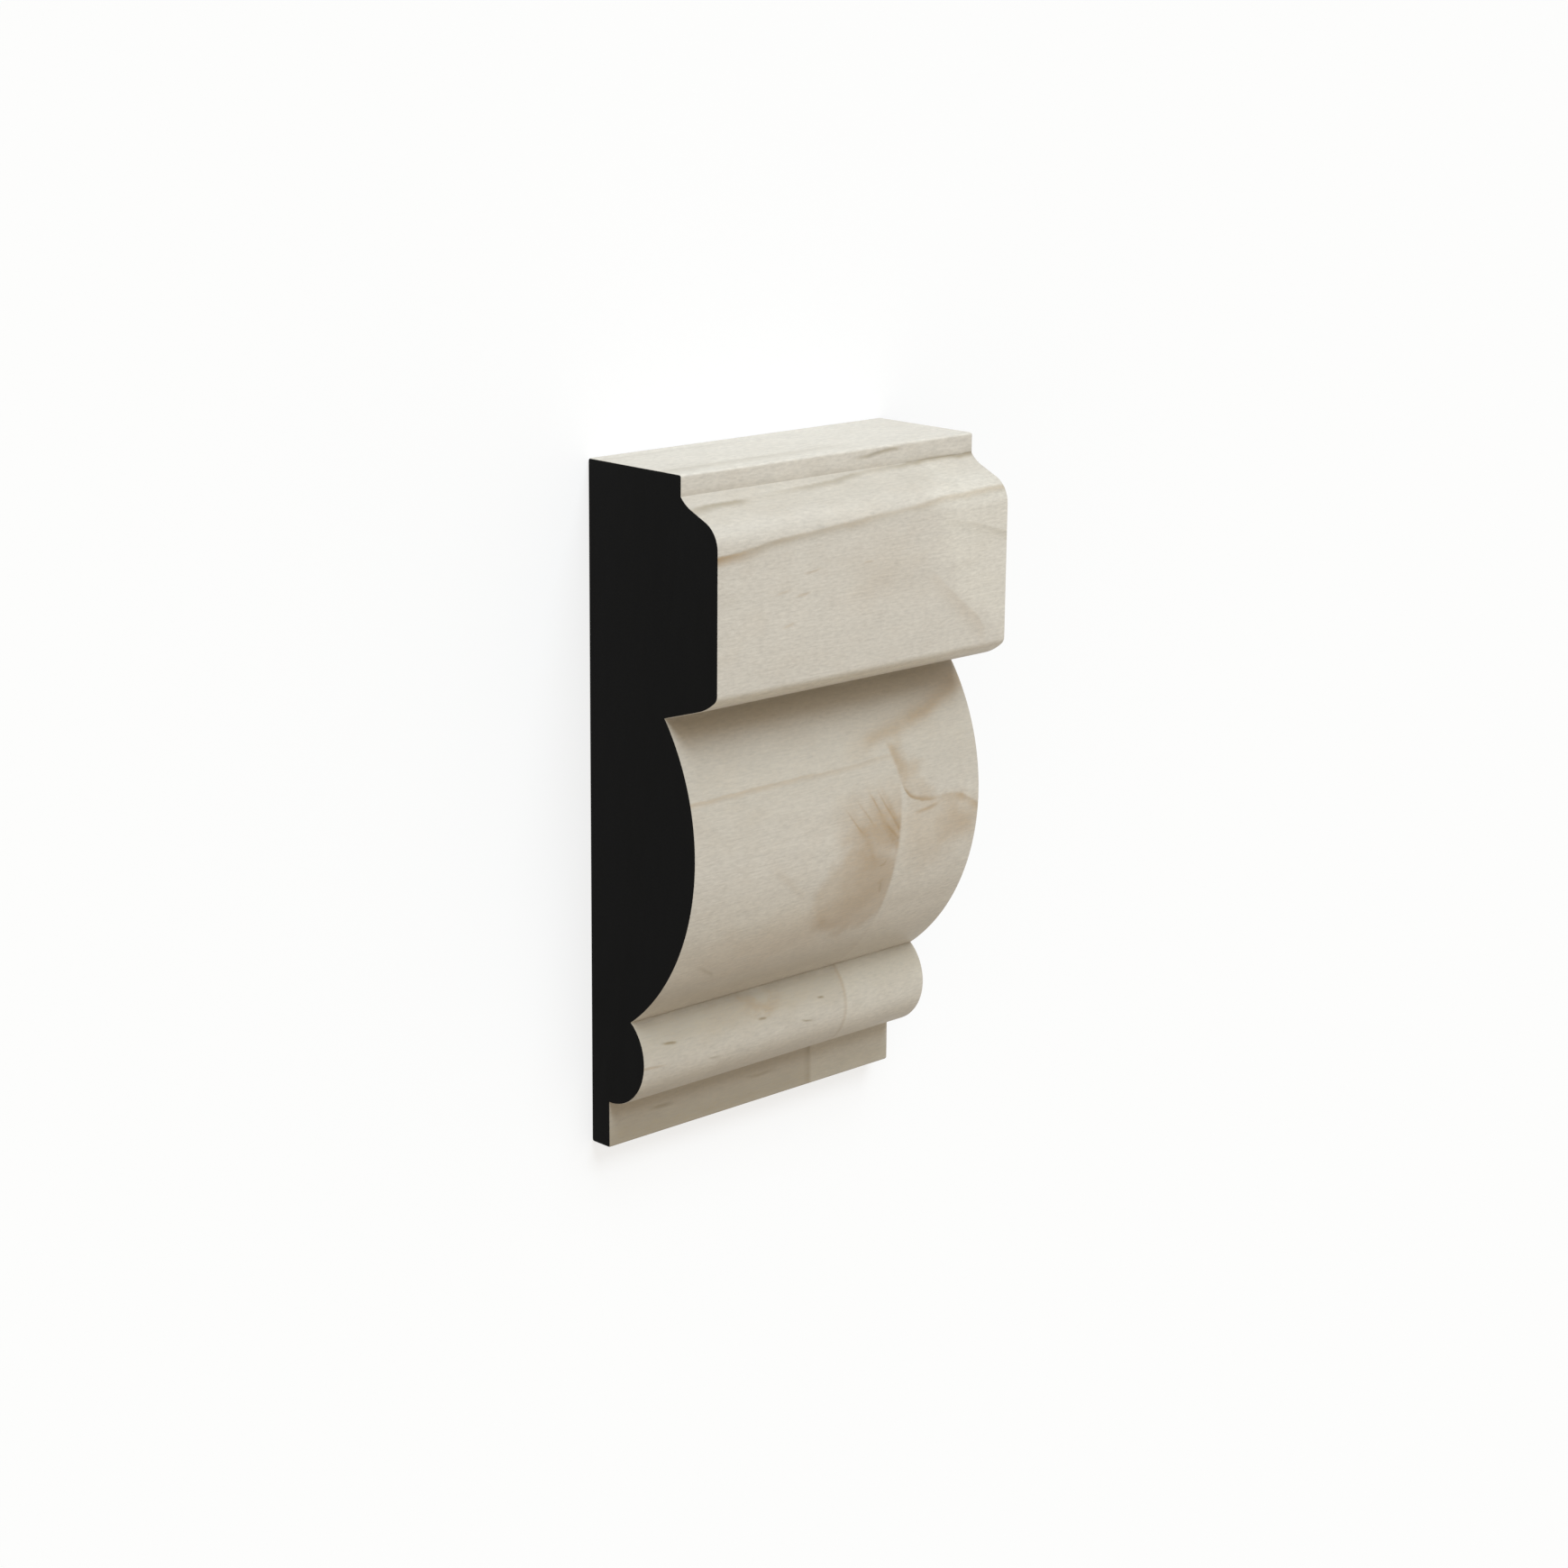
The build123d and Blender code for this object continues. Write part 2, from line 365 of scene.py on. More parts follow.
@dataclass(frozen=True)
class PlanedTulipwood:
    """Tulipwood, also sold as poplar, run through a moulder and left bare.

    It is a pale cream to grey-brown wood of fine even texture, so the eye sees a soft satin
    surface with faint long growth lines, a few brown streaks and hardly any pores.

    Attributes:
        length: Length of the rail, in metres.
        height: Height of the rail up the wall, in metres.
        base: The wood's usual cream-grey.
        ring_mm: Usual width of a growth ring on the face.
        ring_depth_mm: Width of a ring seen out of the wall, where it is cut more obliquely.
        ring_length_mm: Length over which a growth line keeps its course.
        mottle_mm: Size of the soft mottle.
        mottle_length_mm: Length of a spot of the mottle.
        speckle_mm: Width of the fine flecks of the planed surface.
        speckle_length_mm: Length of such a fleck.
        fibre_mm: Width of a bundle of fibres, drawn coarser than real so that it shows.
        fibre_length_mm: Length of such a bundle.
        pore_mm: Width of a pore line, drawn coarser than the real 0.1 mm so that it shows.
        pore_length_mm: Length of a pore line.
        pore_range: Values of the pore noise where a pore starts and is at its darkest.
        noise_range: Values that a raw noise mostly stays between.
        noise_roughness: How much the finer layers of a noise add.
        ring_share: How much the rings lighten and darken the wood.
        mottle_share: How much the mottle does.
        speckle_share: How much the speckle does.
        fibre_share: How much the fibres do.
        pore_share: How much the pores darken it.
        warm_length_mm: Length of the soft spots where the wood's tan comes and goes.
        warm_range: Values of their noise where the tan starts and is full.
        warm_share: How much tan they have.
        bend_scale: Bends of the figure in a millimetre.
        streak_bend_mm: How far the bends push a streak about.
        cloud_bend_mm: How far they push the edge of a soft patch about.
        figure_break: How much the speckle breaks up the streaks and patches.
        figure_depth_mm: Depths from the wall where the figure starts and is full.
        fade_share: Share of the rail in which a streak's blunt end fades out.
        change_line_mm: Place along the rail of the line across, where the tone changes.
        change_blur_mm: Half the width of that change.
        change_height_mm: Heights on the swell where, going down, the change starts and is full.
        change_share: How much paler the wood is past that line.
        top_depth_mm: Depths below the top edge where its lines and its painted light start and are full.
        top_painted_light_share: How much painted light brightens the top edge, as a paler cream.
        roughness: Roughness of the planed face.
        ior: Index of refraction of wood.
        sheen_level: Specular level, a little under the usual half for bare wood.
        relief: Height of the fibre relief, in metres.
        relief_strength: Share of that relief that shades.
    """

    length: float
    height: float
    base: str = "#cdc6bb"
    ring_mm: float = 2.6
    ring_depth_mm: float = 7.8
    ring_length_mm: float = 60.0
    mottle_mm: float = 2.4
    mottle_length_mm: float = 4.8
    speckle_mm: float = 0.26
    speckle_length_mm: float = 0.8
    fibre_mm: float = 0.22
    fibre_length_mm: float = 3.0
    pore_mm: float = 0.16
    pore_length_mm: float = 1.6
    pore_range: tuple[float, float] = (0.75, 1.3)
    noise_range: tuple[float, float] = (0.25, 0.75)
    noise_roughness: float = 0.55
    ring_share: float = 0.02
    mottle_share: float = 0.032
    speckle_share: float = 0.1
    fibre_share: float = 0.024
    pore_share: float = 0.06
    warm_length_mm: float = 3.84
    warm_range: tuple[float, float] = (-0.2, 1.0)
    warm_share: float = 0.07
    bend_scale: float = 0.22
    streak_bend_mm: float = 0.8
    cloud_bend_mm: float = 6.0
    figure_break: float = 0.14
    figure_depth_mm: tuple[float, float] = (0.8, 2.6)
    fade_share: float = 0.01
    change_line_mm: float = 9.1
    change_blur_mm: float = 0.2
    change_height_mm: tuple[float, float] = (2.0, -6.0)
    change_share: float = 0.12
    top_depth_mm: tuple[float, float] = (0.5, 0.1)
    top_painted_light_share: float = 0.15
    roughness: float = 0.56
    ior: float = 1.5
    sheen_level: float = 0.4
    relief: float = 0.012 * MM
    relief_strength: float = 0.35

    def build(self) -> bpy.types.Material:
        """Makes the planed tulipwood material.

        Returns:
            The material.
        """
        material, tree = new_material("planed_tulipwood")
        place = place_in_mm(tree)
        grain, fibre, speckle = self._grain(tree, place)
        broken = add_node(
            tree, "ShaderNodeMath", {0: speckle, 1: self.figure_break, 2: 1.0},
            operation="MULTIPLY_ADD").outputs[0]
        toned = linear_rgba(self.base)
        for tone, share in self._figure(tree, place).items():
            share = add_node(tree, "ShaderNodeMath", {0: share, 1: broken}, operation="MULTIPLY").outputs[0]
            toned = add_node(
                tree, "ShaderNodeMix", {"Factor": share, MIX_A: toned, MIX_B: linear_rgba(tone.value)},
                data_type="RGBA").outputs[MIX_RESULT]
        colour = add_node(
            tree, "ShaderNodeVectorMath", {0: toned, "Scale": grain}, operation="SCALE").outputs[0]
        bump = add_node(tree, "ShaderNodeBump", {
            "Strength": self.relief_strength,
            "Distance": self.relief,
            "Height": fibre,
        }).outputs[0]
        shader = add_node(tree, "ShaderNodeBsdfPrincipled", {
            "Base Color": colour,
            "Roughness": self.roughness,
            "IOR": self.ior,
            "Specular IOR Level": self.sheen_level,
            "Normal": bump,
        })
        add_node(tree, "ShaderNodeOutputMaterial", {"Surface": shader.outputs[0]})
        return material

    def _noise(self, tree: Tree, place: Socket, size_mm: tuple[float, float, float], shift: Shift,
               detail: float) -> Socket:
        """Makes a stretched noise of about -1 to 1.

        Args:
            tree: The material's node tree.
            place: The place in millimetres.
            size_mm: Size of its spots along the rail, up the wall and out of the wall.
            shift: Offset that keeps it apart from the other noises.
            detail: Number of finer layers.

        Returns:
            The noise's value.
        """
        moved = add_node(tree, "ShaderNodeMapping", {
            "Vector": place,
            "Location": (shift.value,) * 3,
            "Scale": tuple(1 / size for size in size_mm),
        }).outputs[0]
        value = add_node(tree, "ShaderNodeTexNoise", {
            "Vector": moved,
            "Scale": 1.0,
            "Detail": detail,
            "Roughness": self.noise_roughness,
        }).outputs[0]
        return add_node(tree, "ShaderNodeMapRange", {
            "Value": value,
            "From Min": self.noise_range[0],
            "From Max": self.noise_range[1],
            "To Min": -1.0,
            "To Max": 1.0,
        }, clamp=False).outputs[0]

    def _grain(self, tree: Tree, place: Socket) -> tuple[Socket, ...]:
        """Makes the growth lines, mottle, speckle, fibres and pores.

        Args:
            tree: The material's node tree.
            place: The place in millimetres.

        Returns:
            A brightness factor near 1, the height of the fibres, and the speckle.
        """
        rings = self._noise(
            tree, place, (self.ring_length_mm, self.ring_mm, self.ring_depth_mm), Shift.RINGS, 3.0)
        mottle = self._noise(
            tree, place, (self.mottle_length_mm, self.mottle_mm, self.mottle_mm), Shift.MOTTLE, 3.0)
        speckle = self._noise(
            tree, place, (self.speckle_length_mm, self.speckle_mm, self.speckle_mm), Shift.SPECKLE, 2.0)
        fibre = self._noise(
            tree, place, (self.fibre_length_mm, self.fibre_mm, self.fibre_mm), Shift.FIBRES, 2.0)
        pore = self._noise(
            tree, place, (self.pore_length_mm, self.pore_mm, self.pore_mm), Shift.PORES, 0.0)
        dark_pore = add_node(tree, "ShaderNodeMapRange", {
            "Value": pore,
            "From Min": self.pore_range[0],
            "From Max": self.pore_range[1],
        }).outputs[0]
        shares = (
            (rings, self.ring_share),
            (mottle, self.mottle_share),
            (speckle, self.speckle_share),
            (fibre, self.fibre_share),
            (dark_pore, -self.pore_share),
        )
        factor = 1.0
        for value, share in shares:
            factor = add_node(
                tree, "ShaderNodeMath", {0: value, 1: share, 2: factor}, operation="MULTIPLY_ADD").outputs[0]
        return factor, fibre, speckle

    def _curve(self, tree: Tree, along: Socket, spots: list[tuple[float, float]], low: float,
               span: float) -> Socket:
        """Makes a smooth curve through a few points.

        Args:
            tree: The material's node tree.
            along: The place along the line, from 0 to 1.
            spots: Places and values, each from 0 to 1.
            low: The value that 0 stands for.
            span: What 1 adds to it.

        Returns:
            The curve's value.
        """
        node = add_node(tree, "ShaderNodeFloatCurve", {"Value": along})
        curve = node.mapping.curves[0]
        curve.points[0].location = spots[0]
        curve.points[1].location = spots[-1]
        for spot in spots[1:-1]:
            curve.points.new(*spot)
        for point in curve.points:
            point.handle_type = "AUTO_CLAMPED"
        node.mapping.extend = "HORIZONTAL"
        node.mapping.update()
        return add_node(
            tree, "ShaderNodeMath", {0: node.outputs[0], 1: span, 2: low},
            operation="MULTIPLY_ADD").outputs[0]

    def _streak(self, tree: Tree, streak: Streak, along: Socket, across: Socket) -> Socket:
        """Makes the mask of one line of figure.

        Args:
            tree: The material's node tree.
            streak: The line.
            along: The place along its run, as a share of the rail from 0 to 1.
            across: The place across its run, in millimetres.

        Returns:
            The line's amount at each point.
        """
        height_mm = self.height * MM_PER_METRE
        span_mm = height_mm if streak.run is Run.CROSSWISE else self.length * MM_PER_METRE
        line = [(spot / span_mm + 0.5, side / height_mm + 0.5) for spot, side, _ in streak.path]
        amounts = [(spot / span_mm + 0.5, amount) for spot, _, amount in streak.path]
        first, last = amounts[0][0], amounts[-1][0]
        if first > 2 * self.fade_share:
            amounts.insert(0, (first - self.fade_share, 0.0))
        if last < 1 - 2 * self.fade_share:
            amounts.append((last + self.fade_share, 0.0))
        middle = self._curve(tree, along, line, -height_mm / 2, height_mm)
        amount = self._curve(tree, along, amounts, 0.0, 1.0)
        gap = add_node(tree, "ShaderNodeMath", {0: across, 1: middle}, operation="SUBTRACT").outputs[0]
        for reach in (streak.reach[0], -streak.reach[1]):
            side = add_node(
                tree, "ShaderNodeMapRange", {"Value": gap, "From Min": reach, "From Max": 0.0},
                interpolation_type="SMOOTHSTEP").outputs[0]
            amount = add_node(tree, "ShaderNodeMath", {0: side, 1: amount}, operation="MULTIPLY").outputs[0]
        return amount

    def _cloud(self, tree: Tree, cloud: Cloud, place: Socket) -> Socket:
        """Makes the mask of one soft patch.

        Args:
            tree: The material's node tree.
            cloud: The patch.
            place: The place in millimetres, bent a little so that its edge wanders.

        Returns:
            The patch's amount at each point.
        """
        local = add_node(tree, "ShaderNodeMapping", {
            "Vector": place,
            "Location": (*cloud.centre, 0.0),
            "Rotation": (0.0, 0.0, math.radians(cloud.lean_deg)),
            "Scale": (*cloud.reach, 1.0),
        }, vector_type="TEXTURE").outputs[0]
        flat = add_node(
            tree, "ShaderNodeVectorMath", {0: local, 1: (1.0, 1.0, 0.0)}, operation="MULTIPLY").outputs[0]
        reach = add_node(tree, "ShaderNodeVectorMath", {0: flat}, operation="LENGTH").outputs["Value"]
        return add_node(tree, "ShaderNodeMapRange", {
            "Value": reach,
            "From Min": 1.0,
            "From Max": cloud.core,
            "To Max": cloud.amount,
        }, interpolation_type="SMOOTHSTEP").outputs[0]

    def _limits(self, tree: Tree, axes: bpy.types.Node) -> dict[str, Socket]:
        """Makes the masks of the parts of the rail that the figure keeps to.

        Args:
            tree: The material's node tree.
            axes: The node that gives the place in millimetres as three values.

        Returns:
            Masks of the moulded face, the top edge, the rail before and past the line across, and
            the face below the swell's fine line.
        """
        along, up, out = axes.outputs
        top = self.height * MM_PER_METRE / 2
        line_start = self.change_line_mm - self.change_blur_mm
        line_end = self.change_line_mm + self.change_blur_mm
        edges = {
            "face": (out, *self.figure_depth_mm, "SMOOTHSTEP"),
            "top": (up, top - self.top_depth_mm[0], top - self.top_depth_mm[1], "LINEAR"),
            "before_line": (along, line_end, line_start, "LINEAR"),
            "past_line": (along, line_start, line_end, "LINEAR"),
            "low_face": (up, *self.change_height_mm, "SMOOTHSTEP"),
        }
        limits = {}
        for name, (value, start, full, fade) in edges.items():
            limits[name] = add_node(
                tree, "ShaderNodeMapRange", {"Value": value, "From Min": start, "From Max": full},
                interpolation_type=fade).outputs[0]
        return limits

    def _bent(self, tree: Tree, place: Socket) -> tuple[Socket, ...]:
        """Bends the place, so that streaks and patches wander.

        Args:
            tree: The material's node tree.
            place: The place in millimetres.

        Returns:
            The place for the streaks, and the place for the soft patches.
        """
        noise = add_node(tree, "ShaderNodeTexNoise", {
            "Vector": place,
            "Scale": self.bend_scale,
            "Detail": 4.0,
            "Roughness": 0.6,
        }).outputs["Color"]
        bend = add_node(
            tree, "ShaderNodeVectorMath", {0: noise, 1: (0.5, 0.5, 0.5)}, operation="SUBTRACT").outputs[0]
        return tuple(
            add_node(tree, "ShaderNodeVectorMath", {0: bend, 1: (push, push, 0.0), 2: place},
                     operation="MULTIPLY_ADD").outputs[0]
            for push in (self.streak_bend_mm, self.cloud_bend_mm))

    def _figure(self, tree: Tree, place: Socket) -> dict[Tone, Socket]:
        """Makes the streaks, soft patches and change of tone that this piece of wood has, with the level
        bands of painted shade and painted light, and the painted light on the top edge.

        Args:
            tree: The material's node tree.
            place: The place in millimetres.

        Returns:
            The share of each tone at each point.
        """
        axes = add_node(tree, "ShaderNodeSeparateXYZ", {0: place})
        limits = self._limits(tree, axes)
        streak_place, cloud_place = self._bent(tree, place)
        bent_axes = add_node(tree, "ShaderNodeSeparateXYZ", {0: streak_place})
        along_share, up_share = (
            add_node(tree, "ShaderNodeMath", {0: axes.outputs[number], 1: 1 / (size * MM_PER_METRE), 2: 0.5},
                     operation="MULTIPLY_ADD").outputs[0]
            for number, size in enumerate((self.length, self.height)))
        runs = {
            Run.LENGTHWISE: (along_share, bent_axes.outputs[1]),
            Run.CROSSWISE: (up_share, axes.outputs[0]),
            Run.TOP: (along_share, axes.outputs[2]),
        }

        masks = []
        for streak in STREAKS:
            limit = limits["top" if streak.run is Run.TOP else "face"]
            masks.append((streak.tone, self._streak(tree, streak, *runs[streak.run]), limit))
        # The smudge and the patches near it stop dead at the line across
        near_face = add_node(
            tree, "ShaderNodeMath", {0: limits["face"], 1: limits["before_line"]},
            operation="MULTIPLY").outputs[0]
        for cloud in CLOUDS:
            stops = cloud.centre[0] < self.change_line_mm and cloud.centre[1] < 0
            limit = near_face if stops else limits["face"]
            masks.append((cloud.tone, self._cloud(tree, cloud, cloud_place), limit))

        warm = self._noise(
            tree, place, (self.warm_length_mm, self.mottle_mm, self.mottle_mm), Shift.WARMTH, 5.0)
        warm = add_node(tree, "ShaderNodeMapRange", {
            "Value": warm,
            "From Min": self.warm_range[0],
            "From Max": self.warm_range[1],
            "To Max": self.warm_share,
        }).outputs[0]
        paler = add_node(
            tree, "ShaderNodeMath", {0: limits["past_line"], 1: self.change_share},
            operation="MULTIPLY").outputs[0]
        masks.append((Tone.TAN, warm, limits["face"]))
        masks.append((Tone.CREAM, paler, limits["low_face"]))
        # Painted light on the top edge, a paler cream
        masks.append((Tone.CREAM, self.top_painted_light_share, limits["top"]))

        totals = {}
        for tone, mask, limit in masks:
            totals[tone] = add_node(
                tree, "ShaderNodeMath", {0: mask, 1: limit, 2: totals.get(tone, 0.0)},
                operation="MULTIPLY_ADD").outputs[0]
        return totals


@dataclass(frozen=True)
class BlackEndSealer:
    """Matt black end sealer, brushed on the sawn ends.

    It is a thin flat coat with no shine, so the eye sees an even near-black face, with the
    saw's and the end grain's texture only just showing through.

    Attributes:
        colour: The coat's usual black.
        worn: The slightly greyer black where it is thin.
        thin_range: Values of the texture where the coat starts to thin and is thinnest.
        grain_mm: Width of the end grain's rings that show through.
        grain_length_mm: Length over which such a ring keeps its course.
        speck_mm: Size of the coat's fine texture.
        roughness: Roughness of the dry coat.
        sheen_level: Specular level, low for a dead flat coat.
        relief: Height of the texture, in metres.
        relief_strength: Share of that relief that shades.
    """

    colour: str = "#131313"
    worn: str = "#151515"
    thin_range: tuple[float, float] = (0.15, 0.38)
    grain_mm: float = 1.2
    grain_length_mm: float = 4.8
    speck_mm: float = 0.25
    roughness: float = 0.9
    sheen_level: float = 0.12
    relief: float = 0.02 * MM
    relief_strength: float = 0.4

    def build(self) -> bpy.types.Material:
        """Makes the black end sealer material.

        Returns:
            The material.
        """
        material, tree = new_material("black_end_sealer")
        place = place_in_mm(tree)
        ring_place = add_node(tree, "ShaderNodeMapping", {
            "Vector": place,
            "Scale": (1.0, 1 / self.grain_length_mm, 1 / self.grain_mm),
        }).outputs[0]
        grain = add_node(
            tree, "ShaderNodeTexNoise", {"Vector": ring_place, "Scale": 1.0, "Detail": 3.0}).outputs[0]
        speck = add_node(tree, "ShaderNodeTexNoise", {
            "Vector": place,
            "Scale": 1 / self.speck_mm,
            "Detail": 2.0,
        }).outputs[0]
        mixed = add_node(tree, "ShaderNodeMath", {0: grain, 1: speck}, operation="MULTIPLY").outputs[0]
        thin = add_node(tree, "ShaderNodeMapRange", {
            "Value": mixed,
            "From Min": self.thin_range[0],
            "From Max": self.thin_range[1],
        }).outputs[0]
        colour = add_node(tree, "ShaderNodeMix", {
            "Factor": thin,
            MIX_A: linear_rgba(self.colour),
            MIX_B: linear_rgba(self.worn),
        }, data_type="RGBA").outputs[MIX_RESULT]
        bump = add_node(tree, "ShaderNodeBump", {
            "Strength": self.relief_strength,
            "Distance": self.relief,
            "Height": speck,
        }).outputs[0]
        shader = add_node(tree, "ShaderNodeBsdfPrincipled", {
            "Base Color": colour,
            "Roughness": self.roughness,
            "Specular IOR Level": self.sheen_level,
            "Normal": bump,
        })
        add_node(tree, "ShaderNodeOutputMaterial", {"Surface": shader.outputs[0]})
        return material


@dataclass
class ProfilePen:
    """Draws the outline of a section with bmesh operators, by runs and tangent arcs.

    The drawing plane has depth from the wall to the right and height up the page. Angles are
    degrees, anticlockwise on that page, and the pen keeps its place and heading.

    Attributes:
        mesh: The bmesh that is drawn in.
        end_x: Place of the section along the rail.
        rail_height: Height of the rail, which is centred on the X axis.
        longest_step: Longest straight step on an arc.
        widest_step_deg: Widest turn in one step of an arc.
        place: Where the pen is, as depth and height.
        heading_deg: The way that it heads.
        tip: The last vertex drawn.
    """

    mesh: bmesh.types.BMesh
    end_x: float
    rail_height: float
    longest_step: float = 0.5 * MM
    widest_step_deg: float = 6.0
    place: Vector = field(default_factory=lambda: Vector((0.0, 0.0)))
    heading_deg: float = 0.0
    tip: bmesh.types.BMVert | None = None

    def _point(self, place: Vector) -> Vector:
        """Turns (depth, height) to a point in the rail's frame."""
        return Vector((self.end_x, place.y - self.rail_height / 2, place.x))

    def start(self, depth: float, height: float, heading_deg: float) -> None:
        """Puts the pen down.

        Args:
            depth: Depth from the wall.
            height: Height above the bottom edge.
            heading_deg: The heading to start with.
        """
        self.place = Vector((depth, height))
        self.heading_deg = heading_deg
        self.tip = bmesh.ops.create_vert(self.mesh, co=self._point(self.place))["vert"][0]

    def run_to(self, depth: float, height: float) -> None:
        """Draws a straight line and heads along it.

        Args:
            depth: Depth from the wall where it ends.
            height: Height above the bottom edge where it ends.
        """
        target = Vector((depth, height))
        way = target - self.place
        self.tip = bmesh.ops.extrude_vert_indiv(self.mesh, verts=[self.tip])["verts"][0]
        bmesh.ops.translate(self.mesh, verts=[self.tip], vec=self._point(target) - self._point(self.place))
        self.heading_deg = math.degrees(math.atan2(way.y, way.x))
        self.place = target

    def run(self, length: float) -> None:
        """Draws a straight line of a length along the heading."""
        heading = math.radians(self.heading_deg)
        self.run_to(self.place.x + length * math.cos(heading), self.place.y + length * math.sin(heading))

    def swing(self, centre: Vector, turn_deg: float) -> None:
        """Draws an arc about a centre.

        Args:
            centre: The arc's centre, as depth and height.
            turn_deg: The angle that it covers, negative for clockwise.
        """
        radius = (self.place - centre).length
        turn = math.radians(turn_deg)
        steps = math.ceil(max(abs(turn_deg) / self.widest_step_deg, abs(turn) * radius / self.longest_step))
        spun = bmesh.ops.spin(
            self.mesh, geom=[self.tip], cent=self._point(centre), axis=(-1.0, 0.0, 0.0), angle=turn,
            steps=steps)
        self.tip = next(part for part in spun["geom_last"] if isinstance(part, bmesh.types.BMVert))
        spoke = self.place - centre
        spoke.rotate(Matrix.Rotation(turn, 2))
        self.place = centre + spoke
        side = 90.0 if turn_deg > 0 else -90.0
        self.heading_deg = math.degrees(math.atan2(spoke.y, spoke.x)) + side

    def turn(self, radius: float, turn_deg: float) -> None:
        """Draws an arc tangent to the heading.

        Args:
            radius: The arc's radius.
            turn_deg: The angle that it covers, negative for clockwise.
        """
        side = math.radians(self.heading_deg + math.copysign(90.0, turn_deg))
        self.swing(self.place + radius * Vector((math.cos(side), math.sin(side))), turn_deg)


@dataclass
class DadoRail:
    """The moulded rail, with its sizes in metres.

    Attributes:
        length: Length of the cut sample.
        height: Height up the wall.
        thickness: Greatest depth from the wall.
        top_fillet_depth: Depth of the narrow step under the top edge.
        top_fillet_height: Height of that step.
        cove_radius: Radius of the ogee's cove.
        cove_start_deg: How steeply the cove starts.
        ogee_slope_deg: Slope of the ogee's straight middle.
        ogee_round_radius: Radius of the ogee's round.
        front_flat_bottom: Height where the front flat ends.
        lower_round_radius: Radius of the tight round at the block's lower arris.
        lower_sweep_deg: Fall of the underside where that round runs into its sweep.
        lower_sweep_radius: Radius of the sweep.
        underside_slope_deg: Fall of the block's underside towards the wall.
        torus_depth: Greatest depth of the wide swell.
        torus_radius: Radius of the wide swell.
        torus_height: Height of the swell's centre.
        foot_depth: Depth of the thin foot.
        bead_radius: Radius of the bead.
        bead_height: Height of the bead's centre.
        arris_radius: Radius of the eased long arrises.
        end_ease: Width of the eased edges of the sawn ends.
        merge_gap: Points of the section that are nearer than this are one.
        end_tilt: How squarely a face looks along the rail, from 0 to 1, to be a sawn end.
        sealed_tilt: The same for a face to be coated as an end, eased edges too.
        sharp_deg: Widest angle between two faces that still shades smooth.
    """

    length: float
    height: float
    thickness: float
    top_fillet_depth: float = 14.45 * MM
    top_fillet_height: float = 2.25 * MM
    cove_radius: float = 4.0 * MM
    cove_start_deg: float = 51.0
    ogee_slope_deg: float = 24.0
    ogee_round_radius: float = 3.1 * MM
    front_flat_bottom: float = 53.85 * MM
    lower_round_radius: float = 1.15 * MM
    lower_sweep_deg: float = 40.0
    lower_sweep_radius: float = 7.3 * MM
    underside_slope_deg: float = 17.2
    torus_depth: float = 16.7 * MM
    torus_radius: float = 25.0 * MM
    torus_height: float = 35.45 * MM
    foot_depth: float = 2.95 * MM
    bead_radius: float = 5.7 * MM
    bead_height: float = 10.95 * MM
    arris_radius: float = 0.3 * MM
    end_ease: float = 0.2 * MM
    merge_gap: float = 0.001 * MM
    end_tilt: float = 0.99
    sealed_tilt: float = 0.8
    sharp_deg: float = 28.0

    @classmethod
    def from_box(cls, low: Vector, high: Vector) -> "DadoRail":
        """Takes the overall sizes from two corners of the CAD node's box."""
        span = Vector(high) - Vector(low)
        return cls(length=span.x, height=span.y, thickness=span.z)

    def _draw_block(self, pen: ProfilePen, torus_centre: Vector) -> None:
        """Draws from the top edge round to the notch under the block.

        Args:
            pen: The pen, with nothing drawn yet.
            torus_centre: Centre of the swell's arc.
        """
        arris = self.arris_radius
        pen.start(arris, self.height, 0.0)
        pen.run_to(self.top_fillet_depth - arris, self.height)
        pen.turn(arris, -90.0)
        pen.run_to(self.top_fillet_depth, self.height - self.top_fillet_height)

        pen.heading_deg = -self.cove_start_deg
        pen.turn(self.cove_radius, self.cove_start_deg - self.ogee_slope_deg)
        slope = math.radians(self.ogee_slope_deg)
        round_reach = self.ogee_round_radius * (1 - math.sin(slope))
        pen.run((self.thickness - round_reach - pen.place.x) / math.cos(slope))
        pen.turn(self.ogee_round_radius, self.ogee_slope_deg - 90.0)

        pen.run_to(self.thickness, self.front_flat_bottom)
        pen.turn(self.lower_round_radius, self.lower_sweep_deg - 90.0)
        pen.turn(self.lower_sweep_radius, self.underside_slope_deg - self.lower_sweep_deg)
        heading = math.radians(pen.heading_deg)
        wall_end = pen.place + self.thickness * Vector((math.cos(heading), math.sin(heading)))
        hits = intersect_line_sphere_2d(pen.place, wall_end, torus_centre, self.torus_radius)
        notch = min((hit for hit in hits if hit), key=lambda hit: (hit - pen.place).length)
        pen.run_to(notch.x, notch.y)

    def _draw_lower(self, pen: ProfilePen, torus_centre: Vector) -> None:
        """Draws the swell, the bead, the foot and the back.

        Args:
            pen: The pen, at the notch under the block.
            torus_centre: Centre of the swell's arc.
        """
        bead_centre = Vector((self.foot_depth, self.bead_height))
        hits = intersect_sphere_sphere_2d(torus_centre, self.torus_radius, bead_centre, self.bead_radius)
        notch = max(hits, key=lambda hit: hit.x)
        start = pen.place - torus_centre
        pen.swing(torus_centre, -math.degrees(start.angle(notch - torus_centre)))
        foot_top = Vector((0.0, -self.bead_radius))
        pen.swing(bead_centre, -math.degrees((notch - bead_centre).angle(foot_top)))

        arris = self.arris_radius
        pen.run_to(self.foot_depth, arris)
        pen.turn(arris, -90.0)
        pen.run_to(arris, 0.0)
        pen.turn(arris, -90.0)
        pen.run_to(0.0, self.height - arris)
        pen.turn(arris, -90.0)

